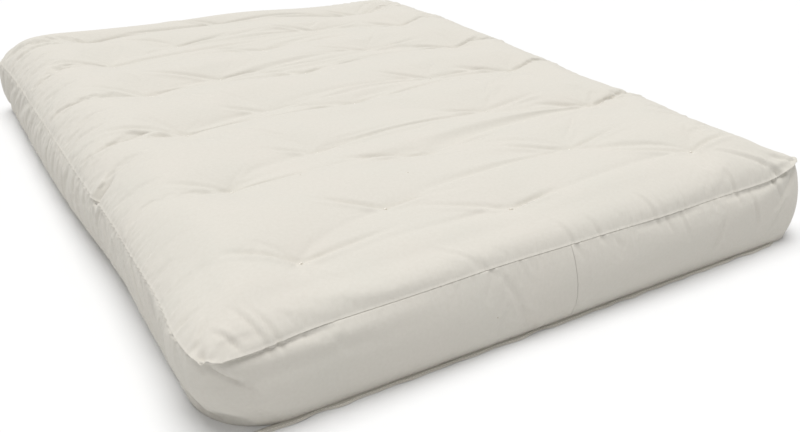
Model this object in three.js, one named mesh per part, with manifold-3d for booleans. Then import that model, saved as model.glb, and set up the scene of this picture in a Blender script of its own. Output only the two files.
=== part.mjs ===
// Tufted futon mattress: a boxed cotton casing around layers of cotton batting and foam,
// tied through from top to bottom by rows of twine tufts. It folds in half like a book, so
// every sheet and layer is modelled as a seat half and a back half that meet on the fold line.
// Millimetres, +Z up, +X across the width, +Y along the length. The origin is the middle of
// the underside.
import * as THREE from 'three';
import { mergeVertices } from 'three/addons/utils/BufferGeometryUtils.js';
import Module from 'manifold-3d';

const wasm = await Module();
wasm.setup();

// ---- driving dimensions ----
const WIDTH = 1524;
const LENGTH = 2032;
const SEAM_HEIGHT = 168; // the top seam above the floor
const CROWN_HEIGHT = 254; // the top of the filling between the tufts
const CROWN_REACH = 200; // distance from the seam at which the crown levels out
const CORNER_RADIUS = 90; // plan radius of the corners
const CORNER_STEPS = 4;
const TOP_TUCK = 26; // how far the top seam sits inside the widest outline
const BOTTOM_TUCK = 22; // and the bottom seam
const WIDEST_AT = 76; // height of the widest outline
const CLOTH = 1; // casing thickness
const GAP = 0.3; // clearance between touching layers
const SIDE_GAP = 0.6; // clearance between the filling and the border
const CROWN_START = TOP_TUCK + CLOTH + SIDE_GAP; // the crown rises from the filling's edge
const FOLD_GAP = 0.25; // each half stops this far short of the fold line

// tufts: the [x, y] of each one in a column, front rows first; they are tied by eye
const TUFT_COLUMNS = [
  [[-495, -840], [-495, -495], [-470, -130], [-465, 205], [-480, 525], [-485, 820]],
  [[-255, -735], [-245, -395], [-235, -75], [-245, 245], [-245, 640]],
  [[-25, -855], [-30, -540], [-10, -140], [-10, 170], [-25, 455], [-20, 840]],
  [[265, -695], [260, -370], [280, -60], [260, 285], [230, 595]],
  [[495, -855], [535, -470], [535, -105], [530, 185], [525, 510], [525, 825]],
];
const TUFT_SIDES = 5;
const TUFT_TURN = 0.35; // radians that the first corner of a dimple or hole is turned from +X
const DIMPLE_RADIUS = 52;
const TOP_DIMPLE = 30; // depth of the dimple that a tuft pulls into the top
const BOTTOM_DIMPLE = 14; // and into the underside
const HOLE_RADIUS = 2.2; // needle hole through every layer
const TWINE_RADIUS = 1.6;
const STITCH = { length: 8, width: 3.2, height: 2.4, lift: 2.8 }; // the loop of twine on the top
const KNOT = { radius: 4, height: 3, drop: 1.6 }; // the knot on the underside

// flange of turned-in cloth that closes the front of the casing at the floor
const CLOSING_SEAM = { depth: 10, height: 2.4, reach: 690, clearance: 2 };

// filling layers from the floor up, as shares of the filling's thickness
const LAYERS = [
  { name: 'batting_bottom_outer', top: 0.13, material: 'batting' },
  { name: 'batting_bottom_inner', top: 0.27, material: 'batting' },
  { name: 'foam_core_lower', top: 0.43, material: 'foam' },
  { name: 'batting_middle', top: 0.57, material: 'batting' },
  { name: 'foam_core_upper', top: 0.73, material: 'foam' },
  { name: 'batting_top_inner', top: 0.87, material: 'batting' },
  { name: 'batting_top_outer', top: 1, material: 'batting' },
];
const CROWN_RINGS = [45, 105]; // insets at which the crown is followed

const COLOURS = {
  casing: { color: 0xe4ddcd, roughness: 0.95, metalness: 0 },
  batting: { color: 0xefeade, roughness: 1, metalness: 0 },
  foam: { color: 0xe3d9a8, roughness: 0.9, metalness: 0 },
  twine: { color: 0xd8cdb4, roughness: 0.85, metalness: 0 },
};

const tufts = TUFT_COLUMNS.flatMap((column, c) =>
  column.map(([x, y], r) => ({ name: `tuft_c${c + 1}_r${r + 1}`, x, y })),
);

// ---- outline and heights ----

// how far the side of the mattress sits inside its widest outline at a height
function borderInset(z) {
  if (z < WIDEST_AT) return BOTTOM_TUCK * ((WIDEST_AT - z) / WIDEST_AT) ** 2;
  return TOP_TUCK * ((z - WIDEST_AT) / (SEAM_HEIGHT - WIDEST_AT)) ** 2;
}

// rounded rectangle, counter-clockwise from above, with the same number of points at any inset
function outline(inset) {
  const radius = Math.max(CORNER_RADIUS - inset, 8);
  const cx = WIDTH / 2 - inset - radius;
  const cy = LENGTH / 2 - inset - radius;
  const corners = [[cx, cy], [-cx, cy], [-cx, -cy], [cx, -cy]];
  return corners.flatMap(([x, y], k) =>
    Array.from({ length: CORNER_STEPS + 1 }, (_, i) => {
      const angle = (k + i / CORNER_STEPS) * Math.PI / 2;
      return [x + radius * Math.cos(angle), y + radius * Math.sin(angle)];
    }),
  );
}

function ngon(x, y, radius) {
  return Array.from({ length: TUFT_SIDES }, (_, i) => {
    const angle = TUFT_TURN + (i / TUFT_SIDES) * 2 * Math.PI;
    return [x + radius * Math.cos(angle), y + radius * Math.sin(angle)];
  });
}

// distance from the widest outline to a point inside it
function distanceInside(x, y) {
  const dx = WIDTH / 2 - Math.abs(x);
  const dy = LENGTH / 2 - Math.abs(y);
  if (dx > CORNER_RADIUS || dy > CORNER_RADIUS) return Math.min(dx, dy);
  return CORNER_RADIUS - Math.hypot(CORNER_RADIUS - dx, CORNER_RADIUS - dy);
}

function crown(x, y) {
  const reach = (distanceInside(x, y) - CROWN_START) / (CROWN_REACH - CROWN_START);
  const part = Math.min(Math.max(reach, 0), 1);
  return SEAM_HEIGHT + (CROWN_HEIGHT - SEAM_HEIGHT) * (1 - (1 - part) ** 2);
}

// height of the surface at a share of the filling's thickness
function layerHeight(x, y, share) {
  const floor = CLOTH + GAP;
  return floor + share * (crown(x, y) - floor);
}

// ---- sheets and solids ----

// One triangulated surface: an outline, rings that follow the crown, and a hole for each tuft,
// at the bottom of a dimple where there is one. height is a function of x and y.
function sheet({ height, edge, rings, dimple }) {
  const positions = [];
  const triangles = [];
  const add = (points, shift = 0) => points.map(([x, y]) => {
    positions.push(x, y, height(x, y) + shift);
    return positions.length / 3 - 1;
  });
  const strip = (outer, inner) => outer.forEach((a, i) => {
    const j = (i + 1) % outer.length;
    triangles.push([a, outer[j], inner[j]], [a, inner[j], inner[i]]);
  });

  const edgeIds = add(edge);
  let ringPoints = edge;
  let ringIds = edgeIds;
  for (const inset of rings) {
    ringPoints = outline(inset);
    const ids = add(ringPoints);
    strip(ringIds, ids);
    ringIds = ids;
  }

  const holes = [];
  const rims = [];
  for (const { x, y } of tufts) {
    const holePoints = ngon(x, y, HOLE_RADIUS);
    if (dimple) {
      const rimPoints = ngon(x, y, DIMPLE_RADIUS);
      const rimIds = add(rimPoints);
      const holeIds = add(holePoints, dimple);
      strip(rimIds, holeIds);
      rims.push({ points: rimPoints, ids: rimIds });
      holes.push(holeIds);
    } else {
      const holeIds = add(holePoints);
      rims.push({ points: holePoints, ids: holeIds });
      holes.push(holeIds);
    }
  }

  const toVectors = (points) => points.map(([x, y]) => new THREE.Vector2(x, y));
  const ids = [ringIds, ...rims.map((rim) => rim.ids)].flat();
  const faces = THREE.ShapeUtils.triangulateShape(
    toVectors(ringPoints),
    rims.map((rim) => toVectors(rim.points)),
  );
  for (const [a, b, c] of faces) triangles.push(upwards([ids[a], ids[b], ids[c]], positions));
  return { positions, triangles, edgeIds, holes };
}

function upwards([a, b, c], p) {
  const area = (p[3 * b] - p[3 * a]) * (p[3 * c + 1] - p[3 * a + 1])
    - (p[3 * c] - p[3 * a]) * (p[3 * b + 1] - p[3 * a + 1]);
  return area < 0 ? [a, c, b] : [a, b, c];
}

// the closed solid between two sheets with the same edge and holes
function between(lower, upper) {
  const offset = lower.positions.length / 3;
  const positions = [...lower.positions, ...upper.positions];
  const triangles = [
    ...lower.triangles.map(([a, b, c]) => [a, c, b]),
    ...upper.triangles.map((t) => t.map((i) => i + offset)),
  ];
  const wall = (low, high, facingOut) => low.forEach((a, i) => {
    const j = (i + 1) % low.length;
    const [b, c, d] = [low[j], high[j] + offset, high[i] + offset];
    if (facingOut) triangles.push([a, b, c], [a, c, d]);
    else triangles.push([a, c, b], [a, d, c]);
  });
  wall(lower.edgeIds, upper.edgeIds, true);
  lower.holes.forEach((ids, k) => wall(ids, upper.holes[k], false));
  return solid(positions, triangles.flat());
}

function solid(vertProperties, triVerts) {
  return new wasm.Manifold(new wasm.Mesh({
    numProp: 3,
    vertProperties: new Float32Array(vertProperties),
    triVerts: new Uint32Array(triVerts),
  }));
}

function fromGeometry(geometry) {
  const bare = geometry.clone();
  bare.deleteAttribute('normal');
  bare.deleteAttribute('uv');
  const merged = mergeVertices(bare, 1e-4);
  return solid(merged.getAttribute('position').array, merged.getIndex().array);
}

function toGeometry(manifold) {
  const { vertProperties, triVerts } = manifold.getMesh();
  const geometry = new THREE.BufferGeometry();
  geometry.setAttribute('position', new THREE.BufferAttribute(vertProperties, 3));
  geometry.setIndex(new THREE.BufferAttribute(triVerts, 1));
  geometry.computeVertexNormals();
  return geometry;
}

// the side of the fold line that a half keeps: -1 is the seat, 1 the back
function halfSpace(side) {
  const box = new THREE.BoxGeometry(WIDTH, LENGTH + 100, 2 * CROWN_HEIGHT);
  box.translate(side * (WIDTH / 2 + FOLD_GAP), 0, CROWN_HEIGHT / 2);
  return fromGeometry(box);
}
const HALVES = [['seat', halfSpace(-1)], ['back', halfSpace(1)]];

// ---- the mattress ----
const mattress = new THREE.Group();
mattress.name = 'futon_mattress';

function addMesh(name, manifold, material) {
  const mesh = new THREE.Mesh(
    toGeometry(manifold),
    new THREE.MeshStandardMaterial(COLOURS[material]),
  );
  mesh.name = name;
  mattress.add(mesh);
}

function addHalves(name, manifold, material) {
  for (const [half, space] of HALVES) {
    addMesh(`${name}_${half}`, manifold.intersect(space), material);
  }
}

// casing: the top sheet, domed over the filling and pulled down at every tuft
function topPanel() {
  const face = (lift) => sheet({
    height: (x, y) => crown(x, y) + lift,
    edge: outline(TOP_TUCK),
    rings: CROWN_RINGS,
    dimple: -TOP_DIMPLE,
  });
  return between(face(GAP), face(GAP + CLOTH));
}

// casing: the bottom sheet, flat on the floor apart from the dimples of the tufts
function bottomPanel() {
  const face = (z) => sheet({
    height: () => z,
    edge: outline(BOTTOM_TUCK),
    rings: [],
    dimple: BOTTOM_DIMPLE,
  });
  return between(face(0), face(CLOTH));
}

// casing: the strip that goes all round the sides between the top and bottom seams
function border() {
  const shares = [0, ...LAYERS.map((layer) => layer.top)];
  const floor = CLOTH + GAP;
  const heights = shares.map((share) => floor + share * (SEAM_HEIGHT - floor));
  heights.push(WIDEST_AT);
  heights.sort((a, b) => a - b);
  const loop = [
    ...heights.map((z) => [z, borderInset(z)]),
    ...heights.map((z) => [z, borderInset(z) + CLOTH]).reverse(),
  ];
  const positions = loop.flatMap(([z, inset]) => outline(inset).flatMap(([x, y]) => [x, y, z]));
  const around = outline(0).length;
  const triangles = loop.flatMap((_, level) => {
    const next = (level + 1) % loop.length;
    return outline(0).flatMap((_, i) => {
      const j = (i + 1) % around;
      const [a, b] = [level * around + i, level * around + j];
      const [c, d] = [next * around + j, next * around + i];
      return [a, b, c, a, c, d];
    });
  });
  return solid(positions, triangles);
}

// one layer of the filling; the outermost ones follow the dimples
function fillingLayer(index) {
  const bottomShare = index ? LAYERS[index - 1].top : 0;
  const topShare = LAYERS[index].top;
  const isBottom = index === 0;
  const isTop = index === LAYERS.length - 1;
  const face = (share, lift, dimple) => {
    const edgeHeight = layerHeight(WIDTH / 2 - TOP_TUCK, 0, share);
    return sheet({
      height: (x, y) => layerHeight(x, y, share) + lift,
      edge: outline(borderInset(edgeHeight) + CLOTH + SIDE_GAP),
      rings: CROWN_RINGS,
      dimple,
    });
  };
  return between(
    face(bottomShare, isBottom ? 0 : GAP / 2, isBottom ? BOTTOM_DIMPLE : 0),
    face(topShare, isTop ? 0 : -GAP / 2, isTop ? -TOP_DIMPLE : 0),
  );
}

function closingSeam() {
  const { depth, height, reach, clearance } = CLOSING_SEAM;
  const box = new THREE.BoxGeometry(2 * reach, depth, height);
  box.translate(0, -LENGTH / 2 + BOTTOM_TUCK - clearance - depth / 2, height / 2);
  return fromGeometry(box);
}

// a tuft: twine through every layer, with a flat stitch on the top and a knot underneath
function tuft({ x, y }) {
  const seat = crown(x, y) - TOP_DIMPLE + GAP + CLOTH + STITCH.lift;
  const hang = BOTTOM_DIMPLE - KNOT.drop;
  const knotLow = hang - KNOT.height;
  const prism = (radius, low, high) => {
    const geometry = new THREE.CylinderGeometry(radius, radius, high - low, TUFT_SIDES);
    geometry.rotateX(Math.PI / 2);
    geometry.rotateZ(TUFT_TURN + Math.PI / 2);
    geometry.translate(x, y, (low + high) / 2);
    return fromGeometry(geometry);
  };
  const stitch = new THREE.BoxGeometry(STITCH.width, STITCH.length, STITCH.height);
  stitch.translate(x, y, seat + STITCH.height / 2);
  const twine = prism(TWINE_RADIUS, knotLow + 1, seat + STITCH.height - 1);
  return twine.add(fromGeometry(stitch)).add(prism(KNOT.radius, knotLow, hang));
}

addHalves('casing_top', topPanel(), 'casing');
addHalves('casing_border', border(), 'casing');
addHalves('casing_bottom', bottomPanel(), 'casing');
addHalves('closing_seam', closingSeam(), 'casing');
LAYERS.forEach(({ name, material }, index) => addHalves(name, fillingLayer(index), material));
for (const place of tufts) addMesh(place.name, tuft(place), 'twine');

export default mattress;
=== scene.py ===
"""A tufted futon mattress in unbleached cotton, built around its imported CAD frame.

The casing is sewn from a top panel, two border strips and a bottom panel. The top and the
borders are inflated by Blender's cloth simulation, drawn in from the larger size they were
cut to, while the seams and the twine tufts hold them down. Batting, foam, twine and thread
are built to fit. Metres, in the CAD frame: +Z up, origin at the middle of the underside.
"""
import math

import bpy
import numpy as np
from mathutils import Matrix, Vector


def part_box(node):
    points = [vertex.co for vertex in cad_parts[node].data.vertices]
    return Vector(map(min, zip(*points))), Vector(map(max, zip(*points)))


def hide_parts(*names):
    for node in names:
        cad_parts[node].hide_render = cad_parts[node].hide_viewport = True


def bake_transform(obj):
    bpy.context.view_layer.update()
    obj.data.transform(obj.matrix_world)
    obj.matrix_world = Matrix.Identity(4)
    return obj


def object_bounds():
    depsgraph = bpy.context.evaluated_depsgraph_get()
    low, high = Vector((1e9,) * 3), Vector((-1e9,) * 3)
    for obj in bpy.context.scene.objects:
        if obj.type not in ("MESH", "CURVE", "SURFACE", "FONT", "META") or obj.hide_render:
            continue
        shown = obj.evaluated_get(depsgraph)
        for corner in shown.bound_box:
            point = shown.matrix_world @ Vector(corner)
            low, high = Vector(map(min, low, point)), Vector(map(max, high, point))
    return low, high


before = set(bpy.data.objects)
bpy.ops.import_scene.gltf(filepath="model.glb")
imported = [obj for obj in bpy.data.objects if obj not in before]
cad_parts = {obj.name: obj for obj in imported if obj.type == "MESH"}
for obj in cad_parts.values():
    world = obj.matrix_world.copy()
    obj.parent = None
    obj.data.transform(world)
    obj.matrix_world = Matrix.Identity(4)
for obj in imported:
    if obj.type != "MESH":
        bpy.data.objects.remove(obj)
cad_low, cad_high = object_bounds()

# ---- driving values, from the frame ----
HALF_WIDTH = cad_high.x
HALF_LENGTH = cad_high.y
SEAM_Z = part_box("casing_border_seat")[1].z
TOP_HALF_WIDTH = -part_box("casing_top_seat")[0].x
TOP_HALF_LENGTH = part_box("casing_top_seat")[1].y
BOTTOM_HALF_WIDTH = -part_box("casing_bottom_seat")[0].x
BOTTOM_HALF_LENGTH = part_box("casing_bottom_seat")[1].y
TOP_TUCK = HALF_WIDTH - TOP_HALF_WIDTH
BOTTOM_TUCK = HALF_WIDTH - BOTTOM_HALF_WIDTH
CROWN_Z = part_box("casing_top_seat")[1].z
TUFT_NODES = sorted(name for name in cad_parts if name.startswith("tuft_"))


def middle_of(node):
    low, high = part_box(node)
    return (low.x + high.x) / 2, (low.y + high.y) / 2


TUFTS = {node: middle_of(node) for node in TUFT_NODES}

# ---- camera, floor and light ----
CAMERA_PLACE = Vector((-1.0569, -2.1525, 1.0256))
CAMERA_LOOK = Vector((0.45336, 0.76822, -0.45200))
CAMERA_UP = Vector((0.2337, 0.3869, 0.8920))
CAMERA_LENS = 39.9
SENSOR_WIDTH = 36
FLOOR_SIZE = 60
FLOOR_COLOUR = (0.80, 0.80, 0.80, 1)
SKY_STRENGTH = 0.50
SUN_STRENGTH = 2.43
SUN_ANGLE = math.radians(42)
SUN_FROM = Vector((0.01, 0.12, 1.0))


def make_camera():
    data = bpy.data.cameras.new("camera")
    data.lens = CAMERA_LENS
    data.sensor_width = SENSOR_WIDTH
    camera = bpy.data.objects.new("camera", data)
    bpy.context.scene.collection.objects.link(camera)
    look = CAMERA_LOOK.normalized()
    right = look.cross(CAMERA_UP).normalized()
    up = right.cross(look)
    turn = Matrix((right, up, -look)).transposed()
    camera.matrix_world = Matrix.Translation(CAMERA_PLACE) @ turn.to_4x4()
    bpy.context.scene.camera = camera


def make_stage():
    bpy.ops.mesh.primitive_plane_add(size=FLOOR_SIZE)
    floor = bpy.context.object
    floor.name = "floor"
    material = bpy.data.materials.new("floor")
    material.use_nodes = True
    shader = material.node_tree.nodes["Principled BSDF"]
    shader.inputs["Base Color"].default_value = FLOOR_COLOUR
    shader.inputs["Roughness"].default_value = 0.9
    floor.data.materials.append(material)

    world = bpy.data.worlds.new("studio")
    bpy.context.scene.world = world
    world.use_nodes = True
    sky = world.node_tree.nodes["Background"]
    sky.inputs["Color"].default_value = (1, 1, 1, 1)
    sky.inputs["Strength"].default_value = SKY_STRENGTH
    data = bpy.data.lights.new("overhead", "SUN")
    data.energy = SUN_STRENGTH
    data.angle = SUN_ANGLE
    light = bpy.data.objects.new("overhead", data)
    bpy.context.scene.collection.objects.link(light)
    light.rotation_euler = (-SUN_FROM).to_track_quat("-Z", "Y").to_euler()
    bpy.context.scene.view_settings.view_transform = "Standard"


# ---- small tools for grids of points ----
def smooth(value, low, high):
    """0 below low, 1 above high and a smooth step between."""
    part = np.clip((value - low) / (high - low), 0, 1)
    return part * part * (3 - 2 * part)


def bumps(place, knots):
    """Sum of smooth bumps, each given as (place, height, width)."""
    return sum(high * np.exp(-(((place - at) / wide) ** 2)) for at, high, wide in knots)


def ripple(points, wavelength, seed, waves=28):
    """Smooth random noise, mostly within -1 to 1, at each of the points."""
    random = np.random.default_rng(seed)
    way = random.normal(size=(waves, points.shape[-1]))
    way *= random.uniform(0.6, 1.6, (waves, 1)) / np.linalg.norm(way, axis=1, keepdims=True)
    phase = random.uniform(0, 2 * math.pi, waves)
    angle = points @ (way.T * 2 * math.pi / np.array(wavelength)[..., None]) + phase
    return np.sin(angle).sum(-1) / math.sqrt(waves)


def blurred(field, reach):
    """A smoothed copy of a grid of numbers, with reach in cells."""
    count = math.ceil(2.5 * reach)
    weights = np.exp(-0.5 * (np.arange(-count, count + 1) / reach) ** 2)
    weights /= weights.sum()
    for _ in range(2):
        wide = np.pad(field, ((count, count), (0, 0)), mode="edge")
        field = sum(weight * wide[k : k + len(field)] for k, weight in enumerate(weights)).T
    return field


def curve_through(points, places, wrap=False):
    """Points at fractional places along smooth curves through a grid's first axis."""
    if wrap:
        wide = np.concatenate([points[-1:], points, points[:2]])
        base = np.minimum(places.astype(int), len(points) - 1)
    else:
        before = 2 * points[:1] - points[1:2]
        after = 2 * points[-1:] - points[-2:-1]
        wide = np.concatenate([before, points, after])
        base = np.minimum(places.astype(int), len(points) - 2)
    a, b, c, d = (wide[base + k] for k in range(4))
    t = (places - base).reshape(-1, *[1] * (points.ndim - 1))
    return b + t / 2 * (c - a + t * (2 * a - 5 * b + 4 * c - d + t * (3 * (b - c) + d - a)))


def swapped(points):
    return points.swapaxes(0, 1)


def lattice(count, half):
    return np.linspace(-half, half, count + 1)


def edge_loop(columns, rows):
    """(i, j) of the points round a grid's edge, anticlockwise from the middle of the front."""
    middle = columns // 2
    front = [(i, 0) for i in range(middle, columns)]
    right = [(columns, j) for j in range(rows)]
    back = [(i, rows) for i in range(columns, 0, -1)]
    left = [(0, j) for j in range(rows, 0, -1)]
    return tuple(np.array(front + right + back + left + [(i, 0) for i in range(middle)]).T)


def round_edge(grid):
    """The points round a grid's edge, from the middle of the front."""
    return grid[edge_loop(grid.shape[0] - 1, grid.shape[1] - 1)]


def outward(loop):
    """Outward directions in plan of a closed anticlockwise loop of points."""
    along = np.roll(loop, -1, axis=0) - np.roll(loop, 1, axis=0)
    out = np.stack([along[:, 1], -along[:, 0], np.zeros(len(loop))], 1)
    return out / np.linalg.norm(out, axis=1, keepdims=True)


def surface_normals(points, wrap=False):
    first = np.gradient(points, axis=0)
    second = np.gradient(points, axis=1)
    if wrap:
        second = np.roll(points, -1, axis=1) - np.roll(points, 1, axis=1)
    normal = np.cross(first, second)
    return normal / np.maximum(np.linalg.norm(normal, axis=-1, keepdims=True), 1e-9)


def quads(ids):
    """Quads between the neighbours of a grid of point numbers."""
    return np.stack([ids[:-1, :-1], ids[1:, :-1], ids[1:, 1:], ids[:-1, 1:]], -1).reshape(-1, 4)


def skirted(grid, rows):
    """Points and quads of a grid with closed rows of points added round its edge."""
    count = grid.shape[0] * grid.shape[1]
    ids = np.arange(count).reshape(grid.shape[:2])
    loops = [round_edge(ids)]
    for number, row in enumerate(rows):
        loops.append(count + number * len(row) + np.arange(len(row)))
    skirt = np.array(loops)
    skirt = np.concatenate([skirt, skirt[:, :1]], 1)
    points = np.concatenate([grid.reshape(-1, 3), *rows])
    return points, np.concatenate([quads(ids), quads(skirt)])


def add_mesh(name, points, faces, place=None):
    """A smooth-shaded object of the used points; place is where each lies on the flat cloth."""
    used, faces = np.unique(faces, return_inverse=True)
    points = points[used]
    faces = faces.reshape(-1, 4)
    mesh = bpy.data.meshes.new(name)
    mesh.from_pydata(points.tolist(), [], faces.tolist())
    mesh.polygons.foreach_set("use_smooth", [True] * len(mesh.polygons))
    if place is not None:
        layer = mesh.attributes.new("cloth_place", "FLOAT_VECTOR", "POINT")
        layer.data.foreach_set("vector", place[used].astype(np.float32).ravel())
    mesh.update()
    made = bpy.data.objects.new(name, mesh)
    bpy.context.scene.collection.objects.link(made)
    return made


# ---- the casing before it is stuffed ----
CELL = 0.0088
COLUMNS = 2 * round(HALF_WIDTH / CELL)  # even, so that a line of points lies on x = 0
ROWS = 2 * round(HALF_LENGTH / CELL)
BORDER_ROWS = 2 * round(SEAM_Z / CELL / 2)
CROWN_REACH = 0.13
CROWN_MITRE = 0.018  # how widely the crown's slopes round into each other at the corners
SEAM_RISE = 0.028  # how far the seam is drawn up at the near right corner
SEAM_RISE_REACH = 0.07
WIDEST_AT = 0.45  # share of the border's height
# plan radii of the corners: (near, far) left, (near, far) right
SEAM_CORNERS = ((0.035, 0.05), (0.045, 0.05))
FLOOR_CORNERS = ((0.15, 0.10), (0.055, 0.09))  # where the border meets the floor
# how the seam wanders out along each side: (place, distance, half length) of each bump
FRONT_SWAY = ((0, -0.008, 5), (-0.66, 0.014, 0.09), (-0.14, -0.005, 0.14), (0.29, 0.005, 0.12))
BACK_SWAY = ((0, -0.006, 5), (-0.5, 0.006, 0.2), (0.1, -0.006, 0.2), (0.55, 0.006, 0.15))
LEFT_SWAY = ((0, 0.004, 5), (-0.89, 0.013, 0.1), (-0.4, -0.005, 0.14), (0.93, 0.009, 0.14))
RIGHT_SWAY = ((0, 0.008, 5), (-0.2, -0.006, 0.2), (0.35, 0.005, 0.2), (0.85, 0.004, 0.1))
SWAY_REACH = 0.3
FLOOR_SWAY = ((-0.42, -0.025, 0.38),)  # the same for the left side where it meets the floor
TUFT_DEPTH = 0.044  # how far a tuft's twine draws the cloth below the crown
FRONT_TUFT_DEPTH = 0.023  # and at the first tufts along the front


def rounded(x, y, half_x, half_y, corners):
    """Moves the corners of a rectangle of points inside a rounded outline."""
    (near_left, far_left), (near_right, far_right) = corners
    near = np.where(x < 0, near_left, near_right)
    far = np.where(x < 0, far_left, far_right)
    radius = np.where(y < 0, near, far)
    a = np.clip((np.abs(x) - (half_x - radius)) / radius, 0, 1)
    b = np.clip((np.abs(y) - (half_y - radius)) / radius, 0, 1)
    shift_x = a * np.sqrt(1 - b * b / 2) - a
    shift_y = b * np.sqrt(1 - a * a / 2) - b
    return x + np.sign(x) * shift_x * radius, y + np.sign(y) * shift_y * radius


def swayed(x, y):
    """Lets the seam wander in and out along each side."""
    near = smooth(-y, TOP_HALF_LENGTH - SWAY_REACH, TOP_HALF_LENGTH)
    far = smooth(y, TOP_HALF_LENGTH - SWAY_REACH, TOP_HALF_LENGTH)
    left = smooth(-x, TOP_HALF_WIDTH - SWAY_REACH, TOP_HALF_WIDTH)
    right = smooth(x, TOP_HALF_WIDTH - SWAY_REACH, TOP_HALF_WIDTH)
    across = right * bumps(y, RIGHT_SWAY) - left * bumps(y, LEFT_SWAY)
    along = far * bumps(x, BACK_SWAY) - near * bumps(x, FRONT_SWAY)
    return x + across, y + along


def border_tuck(share):
    """How far the side sits inside the widest outline, at a share of the seam's height."""
    below = np.clip((WIDEST_AT - share) / WIDEST_AT, 0, 1)
    above = np.clip((share - WIDEST_AT) / (1 - WIDEST_AT), 0, 1)
    return BOTTOM_TUCK * below**2 + TOP_TUCK * above**2


def border_bulge(share):
    """How far the side stands out from a straight line between floor and seam."""
    return BOTTOM_TUCK * (1 - share) + TOP_TUCK * share - border_tuck(share)


def inset(x, y):
    """How far inside the seam each place lies."""
    return np.minimum(TOP_HALF_WIDTH - np.abs(x), TOP_HALF_LENGTH - np.abs(y))


def seam_height(x, y):
    away = np.hypot(x - TOP_HALF_WIDTH, y + TOP_HALF_LENGTH)
    return SEAM_Z + SEAM_RISE * np.exp(-((away / SEAM_RISE_REACH) ** 2))


def crown(x, y):
    """The height of the top's broad shape, which rises from the seam with rounded corners."""
    inside = np.stack([TOP_HALF_WIDTH - np.abs(x), TOP_HALF_LENGTH - np.abs(y)])
    nearest = -CROWN_MITRE * np.log(np.exp(-inside / CROWN_MITRE).sum(0))
    part = np.clip(nearest / CROWN_REACH, 0, 1)
    seam = seam_height(x, y)
    return seam + (CROWN_Z - seam) * (1 - (1 - part) ** 2)


def plan_lattice(half_x, half_y):
    return np.meshgrid(lattice(COLUMNS, half_x), lattice(ROWS, half_y), indexing="ij")


def starting_top():
    x, y = plan_lattice(TOP_HALF_WIDTH, TOP_HALF_LENGTH)
    z = crown(x, y)
    x, y = rounded(x, y, TOP_HALF_WIDTH, TOP_HALF_LENGTH, SEAM_CORNERS)
    return np.stack([*swayed(x, y), z], -1)


def floor_grid():
    """The bottom panel's points, flat on the floor, numbered like the top's."""
    x, y = plan_lattice(BOTTOM_HALF_WIDTH, BOTTOM_HALF_LENGTH)
    x, y = rounded(x, y, BOTTOM_HALF_WIDTH, BOTTOM_HALF_LENGTH, FLOOR_CORNERS)
    x -= smooth(-x, BOTTOM_HALF_WIDTH - SWAY_REACH, BOTTOM_HALF_WIDTH) * bumps(y, FLOOR_SWAY)
    return np.stack([x, y, np.zeros_like(x)], -1)


def starting_border(top):
    """Rows of points from the seam down to the floor, each row a closed loop."""
    seam = round_edge(top)
    floor = round_edge(floor_grid())
    shares = (1 - np.arange(BORDER_ROWS + 1) / BORDER_ROWS)[:, None, None]
    return floor + (seam - floor) * shares + outward(seam) * border_bulge(shares)


# ---- how much larger than its span each part of the cloth is cut ----
SLACK_ACROSS = -0.002
SLACK_ALONG = 0.034
SLACK_UP = 0.02
SIDE_SHARE = 0.6  # of the top's slack, in the border
FRONT_TAUT = 0.8  # share of the slack along that is taken off in front of the first tufts
FRONT_TAUT_SPAN = (0.70, 0.90)  # how far in front of the middle that starts and is complete
FRONT_TUFT_SPAN = (0.55, 0.82)  # and where the tufts grow shallower
TIED_POINTS = 4  # of the cloth, held by each tuft
FRONT_GATHER = 0.004
GATHER_DEPTH = 0.12
GATHER_STEPS = 14  # steps in which the cloth is drawn in to the span it covers
SETTLE_STEPS = 26
SEAM_HOLD = 0.85
PRESSURE = 2.5


def cut_shift():
    """How far each point of the top lies from its place when the cloth is flat, as (x, y)."""
    x, y = plan_lattice(TOP_HALF_WIDTH, TOP_HALF_LENGTH)
    along = SLACK_ALONG * (1 - FRONT_TAUT * smooth(-y, *FRONT_TAUT_SPAN))
    gathered = smooth(-y, TOP_HALF_LENGTH - GATHER_DEPTH, TOP_HALF_LENGTH)
    across = SLACK_ACROSS + FRONT_GATHER * gathered
    shift_x = np.cumsum(across, 0) * (x[1, 0] - x[0, 0])
    shift_y = np.cumsum(along, 1) * (y[0, 1] - y[0, 0])
    shift_x -= shift_x[COLUMNS // 2]
    shift_y -= shift_y[:, ROWS // 2, None]
    return np.stack([shift_x, shift_y, np.zeros_like(x)], -1)


def hold(group, ids, weight):
    group.add([int(i) for i in ids], weight, "REPLACE")


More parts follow.
